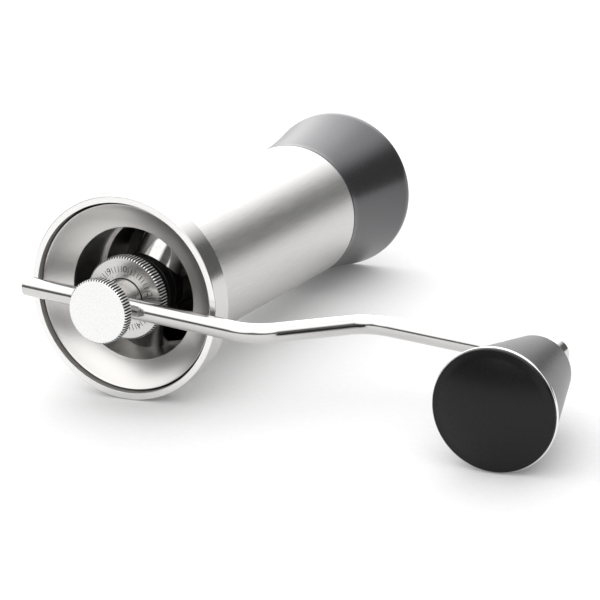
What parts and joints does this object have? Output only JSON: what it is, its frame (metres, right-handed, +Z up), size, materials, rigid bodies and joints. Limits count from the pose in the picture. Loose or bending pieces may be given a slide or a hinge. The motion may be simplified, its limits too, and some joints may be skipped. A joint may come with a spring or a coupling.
{
  "type": "hand crank coffee grinder",
  "caption": "Hand crank coffee grinder with a steel tube body, flared black catch cup, funnel collar, adjusting dial and a bent crank rod with a conical knob.",
  "frame": {"origin": "centre of the catch cup's bottom face", "axes": "+Z up the grinder's axis towards the crank; the crank arm points along -X"},
  "size_m": [0.1764, 0.064, 0.1874],
  "materials": {
    "body_steel": "brushed lengthwise, satin",
    "turned_steel": "fine turned",
    "funnel_satin": "satin blasted",
    "polished_steel": "polished",
    "bearing_steel": "ground and polished",
    "cage_steel": "pressed",
    "cover_black": "black anodised, turned",
    "burr_steel": "hardened, machined",
    "spring_steel": "drawn wire",
    "dial_steel": "turned face, knurled rim",
    "hub_steel": "turned",
    "cap_steel": "brushed face, knurled rim",
    "rod_steel": "drawn and lightly polished",
    "trim_chrome": "bright",
    "knob_black": "matte, soft sheen",
    "cup_black": "satin black",
    "seal_rubber": "matte",
    "bush_bronze": "sintered bronze",
    "magnet_nickel": "nickel plated",
    "strike_steel": "ground"
  },
  "bodies": {
    "body": {"body_shell": "body_steel", "body_magnets": "magnet_nickel", "top_collar": "turned_steel", "funnel_insert": "funnel_satin", "funnel_seal": "seal_rubber", "bearing_spider": "polished_steel", "upper_outer_race": "bearing_steel", "bearing_cover": "cover_black", "lower_bridge": "polished_steel", "lower_outer_race": "bearing_steel", "outer_burr": "burr_steel", "burr_retaining_ring": "turned_steel"},
    "cup": {"catch_cup": "cup_black", "cup_strike_ring": "strike_steel"},
    "rotor": {"upper_inner_race": "bearing_steel", "lower_inner_race": "bearing_steel", "bearing_sleeve": "turned_steel"},
    "upper_ball_set": {"upper_balls": "bearing_steel", "upper_cage": "cage_steel"},
    "lower_ball_set": {"lower_balls": "bearing_steel", "lower_cage": "cage_steel"},
    "dial": {"adjusting_dial": "dial_steel"},
    "spindle": {"drive_shaft": "turned_steel", "inner_burr": "burr_steel", "burr_washer": "turned_steel", "burr_bolt": "turned_steel", "burr_spring": "spring_steel"},
    "crank": {"crank_hub": "hub_steel"},
    "clamp_screw": {"thumb_screw": "cap_steel"},
    "arm": {"crank_rod": "rod_steel", "rod_end_boss": "rod_steel", "knob_spindle": "turned_steel"},
    "knob": {"knob_shell": "knob_black", "lower_knob_bush": "bush_bronze", "upper_knob_bush": "bush_bronze", "knob_trim_ring": "trim_chrome", "knob_cap": "knob_black"}
  },
  "joints": [
    {"name": "crank_spin", "type": "hinge", "parent": "body", "child": "rotor", "pos_m": [0, 0, 0.1], "axis": [0, 0, 1], "continuous": true},
    {"name": "upper_balls_spin", "type": "hinge", "parent": "body", "child": "upper_ball_set", "pos_m": [0, 0, 0.1457], "axis": [0, 0, 1], "continuous": true},
    {"name": "lower_balls_spin", "type": "hinge", "parent": "body", "child": "lower_ball_set", "pos_m": [0, 0, 0.0735], "axis": [0, 0, 1], "continuous": true},
    {"name": "dial_turn", "type": "hinge", "parent": "rotor", "child": "dial", "pos_m": [0, 0, 0.157], "axis": [0, 0, 1], "range_deg": [-181, 901]},
    {"name": "burr_gap", "type": "slide", "parent": "rotor", "child": "spindle", "axis": [0, 0, -1], "range_m": [-0.00025, 0.00125], "deforming": ["burr_spring"]},
    {"name": "crank_lift", "type": "slide", "parent": "spindle", "child": "crank", "axis": [0, 0, 1], "range_m": [0, 0.03]},
    {"name": "screw_turn", "type": "hinge", "parent": "crank", "child": "clamp_screw", "pos_m": [0, 0, 0.17], "axis": [0, 0, 1], "range_deg": [0, 720]},
    {"name": "arm_slide", "type": "slide", "parent": "crank", "child": "arm", "axis": [1, 0, 0], "range_m": [-0.018, 0.005]},
    {"name": "knob_spin", "type": "hinge", "parent": "arm", "child": "knob", "pos_m": [-0.1268, 0, 0.16], "axis": [0, 0, 1], "continuous": true},
    {"name": "cup_pull", "type": "slide", "parent": "body", "child": "cup", "axis": [0, 0, -1], "range_m": [0, 0.06]}
  ],
  "couplings": [
    {"joint": "upper_balls_spin", "follows": "crank_spin", "ratio": 0.4},
    {"joint": "lower_balls_spin", "follows": "crank_spin", "ratio": 0.4},
    {"joint": "dial_turn", "follows": "burr_gap", "rad_per_m": 12566}
  ]
}
